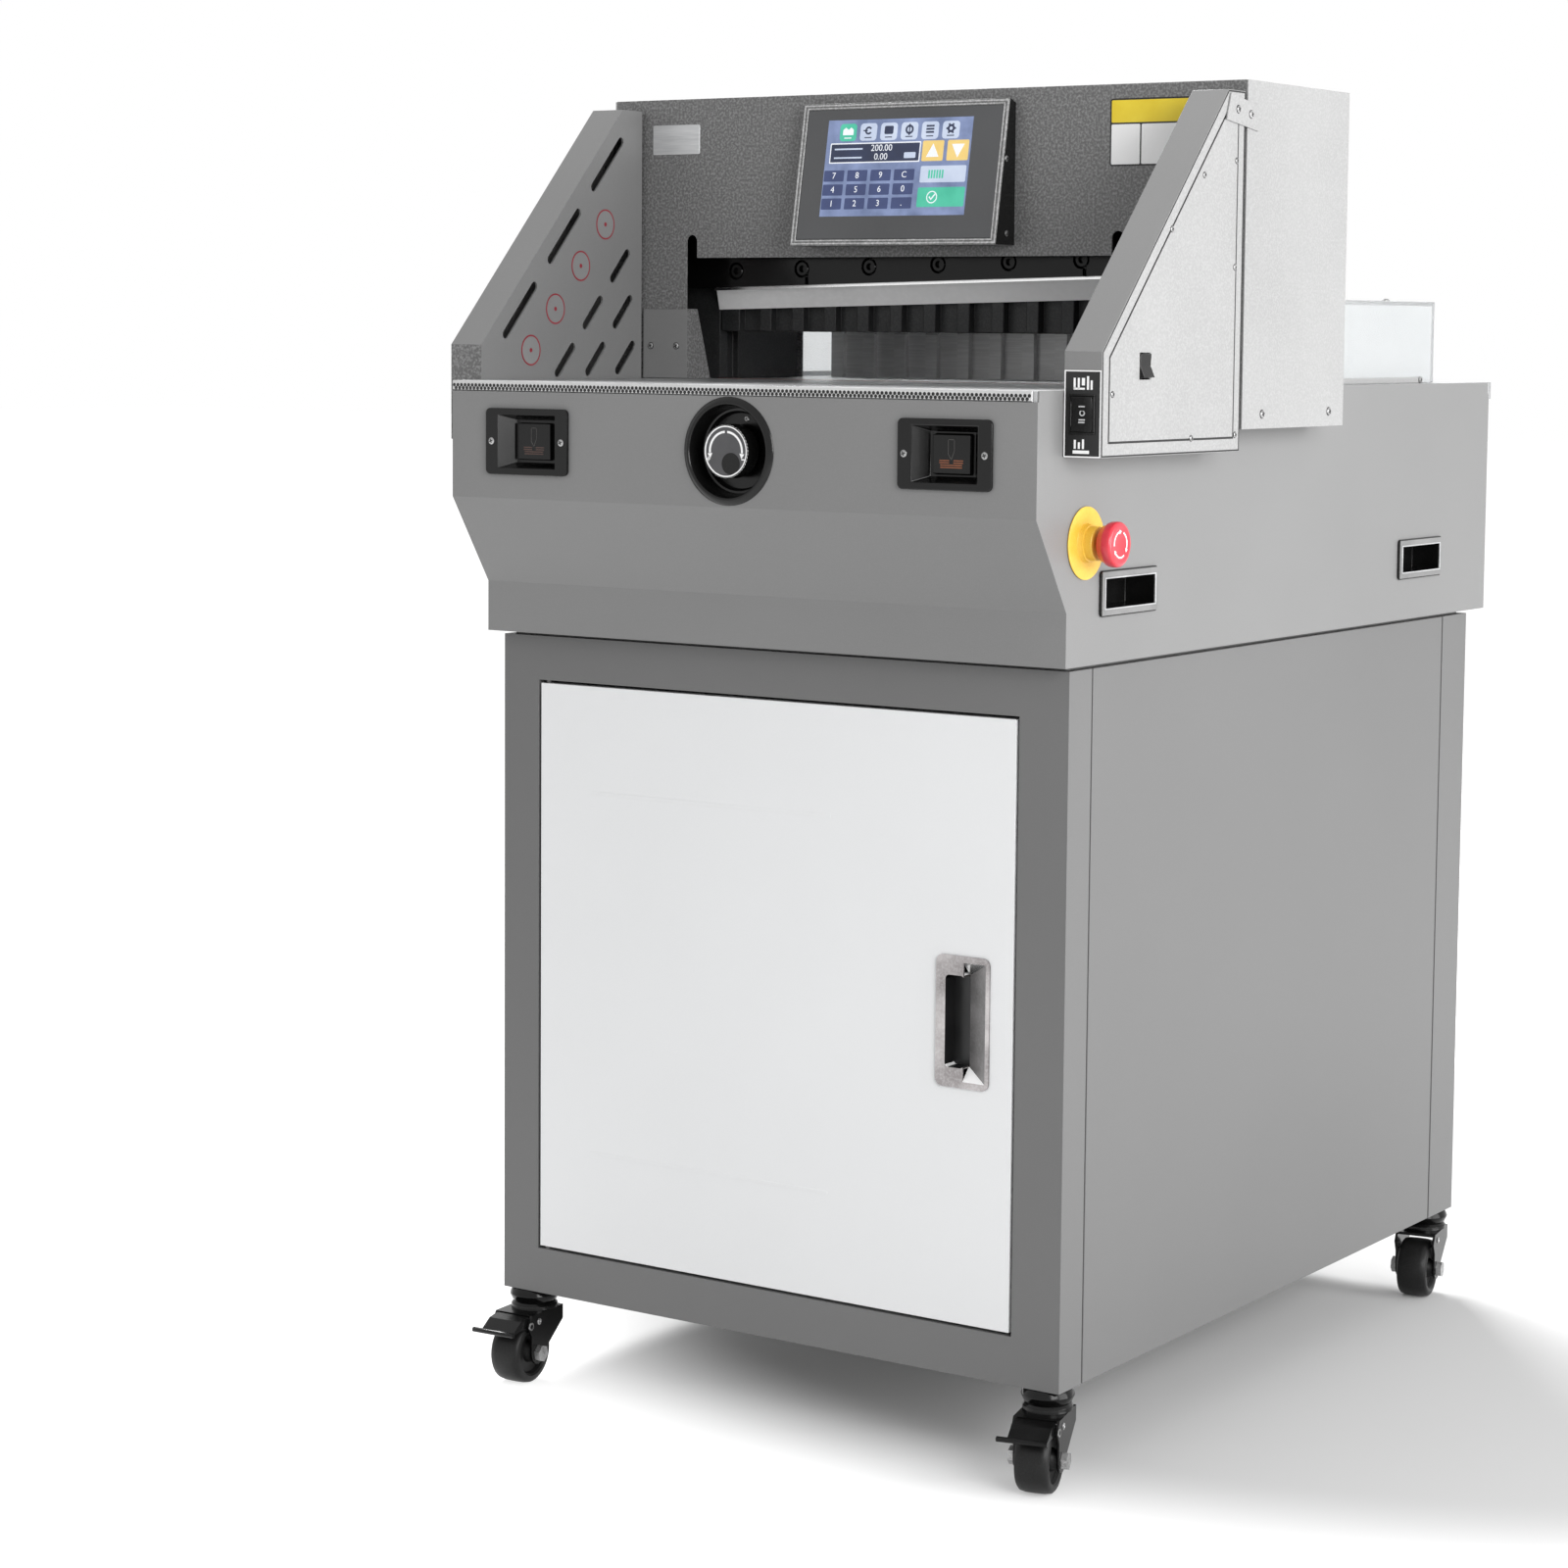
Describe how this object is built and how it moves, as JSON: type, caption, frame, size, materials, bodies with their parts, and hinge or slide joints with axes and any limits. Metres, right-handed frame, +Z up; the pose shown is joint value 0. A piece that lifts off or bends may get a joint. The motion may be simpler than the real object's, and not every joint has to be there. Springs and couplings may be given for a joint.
{
  "type": "electric paper cutter",
  "caption": "Electric paper cutter on a wheeled cabinet: a portal with knife, clamp and back gauge over a flat table, two slotted wings, a touch screen and two-hand buttons.",
  "frame": {"origin": "centre of the outline, on the floor", "axes": "+X to the operator's right, +Y to the back, +Z up"},
  "size_m": [0.7196, 0.965, 1.259],
  "materials": {
    "charcoal_paint": "fine hammer finish",
    "hammer_paint": "coarse hammer finish",
    "grey_paint": "satin powder coat",
    "white_paint": "satin powder coat",
    "black_plastic": "satin",
    "black_steel": "semi-gloss black",
    "bright_steel": "ground",
    "cast_iron": "machined and painted",
    "machined_table": "ground",
    "aluminium": "satin",
    "chrome": "polished",
    "rubber": "matt",
    "red_plastic": "gloss",
    "yellow_plastic": "satin",
    "red_stick": "matt",
    "clear_plastic": "clear",
    "screen_glass": "gloss",
    "motor_black": "matt"
  },
  "bodies": {
    "base": {"cabinet_frame": "grey_paint", "cabinet_side_right": "grey_paint", "cabinet_side_left": "grey_paint", "caster_head_front_right": "black_steel", "caster_head_front_left": "black_steel", "caster_head_rear_right": "black_steel", "caster_head_rear_left": "black_steel", "body_housing": "charcoal_paint", "table_plate": "machined_table", "table_front_strip": "aluminium", "cutting_stick": "red_stick", "hand_grip_front_right": "black_plastic", "hand_grip_front_left": "black_plastic", "hand_grip_rear_right": "black_plastic", "hand_grip_rear_left": "black_plastic", "handwheel_bezel": "black_plastic", "button_housing_right": "black_plastic", "button_housing_left": "black_plastic", "estop_base": "yellow_plastic", "bridge_frame": "cast_iron", "bridge_cover": "hammer_paint", "side_cover_right": "grey_paint", "side_cover_left": "grey_paint", "wing_shell_right": "charcoal_paint", "wing_shell_left": "charcoal_paint", "wing_cover_right": "grey_paint", "wing_cover_left": "grey_paint", "screen_housing": "black_plastic", "screen_panel": "screen_glass", "knife_gearmotor": "motor_black", "clamp_motor": "motor_black", "gauge_motor": "motor_black", "rear_cover": "clear_plastic", "power_inlet": "black_plastic"},
    "door": {"cabinet_door": "white_paint", "door_pull": "chrome"},
    "fork_front_right": {"caster_fork_front_right": "black_steel"},
    "fork_front_left": {"caster_fork_front_left": "black_steel"},
    "fork_rear_right": {"caster_fork_rear_right": "black_steel"},
    "fork_rear_left": {"caster_fork_rear_left": "black_steel"},
    "wheel_front_right": {"caster_wheel_front_right": "rubber"},
    "wheel_front_left": {"caster_wheel_front_left": "rubber"},
    "wheel_rear_right": {"caster_wheel_rear_right": "rubber"},
    "wheel_rear_left": {"caster_wheel_rear_left": "rubber"},
    "pedal_front_right": {"brake_pedal_front_right": "black_steel"},
    "pedal_front_left": {"brake_pedal_front_left": "black_steel"},
    "gauge_knob": {"gauge_handwheel": "black_plastic"},
    "cut_button_right": {"cut_button_right": "black_plastic"},
    "cut_button_left": {"cut_button_left": "black_plastic"},
    "stop_head": {"estop_head": "red_plastic"},
    "rocker": {"rocker_switch": "black_plastic"},
    "power": {"power_switch": "black_plastic"},
    "knife_block": {"knife_slide_block": "bright_steel"},
    "knife": {"knife_carrier": "bright_steel", "knife_blade": "bright_steel"},
    "drawbar": {"knife_drawbar": "bright_steel"},
    "knife_screw": {"knife_spindle": "bright_steel"},
    "clamp": {"clamp_beam": "cast_iron"},
    "gauge": {"back_gauge": "aluminium"},
    "gauge_lead_screw": {"gauge_screw": "bright_steel"}
  },
  "joints": [
    {"name": "door_hinge", "type": "hinge", "parent": "base", "child": "door", "pos_m": [-0.26529, -0.4005, 0.412], "axis": [0, 0, -1], "range_deg": [0, 110]},
    {"name": "swivel_front_right", "type": "hinge", "parent": "base", "child": "fork_front_right", "pos_m": [0.28921, -0.3855, 0.08], "axis": [0, 0, 1], "continuous": true},
    {"name": "roll_front_right", "type": "hinge", "parent": "fork_front_right", "child": "wheel_front_right", "pos_m": [0.29526, -0.40976, 0.031], "axis": [0.9703, 0.2419, 0], "continuous": true},
    {"name": "brake_front_right", "type": "hinge", "parent": "fork_front_right", "child": "pedal_front_right", "pos_m": [0.2984, -0.42237, 0.06], "axis": [0.9703, 0.2419, 0], "range_deg": [0, 8]},
    {"name": "swivel_front_left", "type": "hinge", "parent": "base", "child": "fork_front_left", "pos_m": [-0.29379, -0.3855, 0.08], "axis": [0, 0, 1], "continuous": true},
    {"name": "roll_front_left", "type": "hinge", "parent": "fork_front_left", "child": "wheel_front_left", "pos_m": [-0.29204, -0.41044, 0.031], "axis": [0.9976, 0.0698, 0], "continuous": true},
    {"name": "brake_front_left", "type": "hinge", "parent": "fork_front_left", "child": "pedal_front_left", "pos_m": [-0.29114, -0.42341, 0.06], "axis": [0.9976, 0.0698, 0], "range_deg": [0, 8]},
    {"name": "swivel_rear_right", "type": "hinge", "parent": "base", "child": "fork_rear_right", "pos_m": [0.28921, 0.4265, 0.08], "axis": [0, 0, 1], "continuous": true},
    {"name": "roll_rear_right", "type": "hinge", "parent": "fork_rear_right", "child": "wheel_rear_right", "pos_m": [0.29355, 0.40188, 0.031], "axis": [0.9848, 0.1736, 0], "continuous": true},
    {"name": "swivel_rear_left", "type": "hinge", "parent": "base", "child": "fork_rear_left", "pos_m": [-0.29379, 0.4265, 0.08], "axis": [0, 0, 1], "continuous": true},
    {"name": "roll_rear_left", "type": "hinge", "parent": "fork_rear_left", "child": "wheel_rear_left", "pos_m": [-0.29727, 0.40174, 0.031], "axis": [0.9903, -0.1392, 0], "continuous": true},
    {"name": "gauge_knob_turn", "type": "hinge", "parent": "base", "child": "gauge_knob", "pos_m": [-0.00229, -0.4775, 0.9207], "axis": [0, 1, 0], "continuous": true},
    {"name": "cut_button_right_press", "type": "slide", "parent": "base", "child": "cut_button_right", "axis": [0, 1, 0], "range_m": [0, 0.004], "stiffness_N_per_m": 600, "springref_m": -0.002},
    {"name": "cut_button_left_press", "type": "slide", "parent": "base", "child": "cut_button_left", "axis": [0, 1, 0], "range_m": [0, 0.004], "stiffness_N_per_m": 600, "springref_m": -0.002},
    {"name": "stop_press", "type": "slide", "parent": "base", "child": "stop_head", "axis": [-1, 0, 0], "range_m": [0, 0.005]},
    {"name": "rocker_tilt", "type": "hinge", "parent": "base", "child": "rocker", "pos_m": [0.33651, -0.4339, 0.96], "axis": [1, 0, 0], "range_deg": [-10, 10]},
    {"name": "power_tilt", "type": "hinge", "parent": "base", "child": "power", "pos_m": [0.35501, -0.3575, 1.001], "axis": [0, 1, 0], "range_deg": [0, 20]},
    {"name": "knife_stroke", "type": "slide", "parent": "base", "child": "knife_block", "axis": [-0.2912, 0, -0.9567], "range_m": [0, 0.07212]},
    {"name": "knife_level", "type": "hinge", "parent": "knife_block", "child": "knife", "pos_m": [-0.28629, -0.1275, 1.18], "axis": [0, 1, 0], "range_deg": [0, 1.42]},
    {"name": "drawbar_pull", "type": "slide", "parent": "base", "child": "drawbar", "axis": [0, 0, -1], "range_m": [0, 0.0836]},
    {"name": "knife_screw_turn", "type": "hinge", "parent": "base", "child": "knife_screw", "pos_m": [0.29971, -0.0812, 0.86], "axis": [0, 0, 1], "range_deg": [0, 3020]},
    {"name": "clamp_press", "type": "slide", "parent": "base", "child": "clamp", "axis": [0, 0, -1], "range_m": [0, 0.047]},
    {"name": "gauge_travel", "type": "slide", "parent": "base", "child": "gauge", "axis": [0, 1, 0], "range_m": [-0.152, 0.265]},
    {"name": "gauge_screw_turn", "type": "hinge", "parent": "base", "child": "gauge_lead_screw", "pos_m": [-0.00229, 0.1225, 0.93], "axis": [0, 1, 0], "range_deg": [-5480, 9550]}
  ],
  "couplings": [
    {"joint": "knife_level", "follows": "knife_stroke", "rad_per_m": 0.34311},
    {"joint": "drawbar_pull", "follows": "knife_stroke", "ratio": 1.1577},
    {"joint": "knife_screw_turn", "follows": "knife_stroke", "rad_per_m": 727.41},
    {"joint": "gauge_screw_turn", "follows": "gauge_travel", "rad_per_m": 628.32}
  ]
}
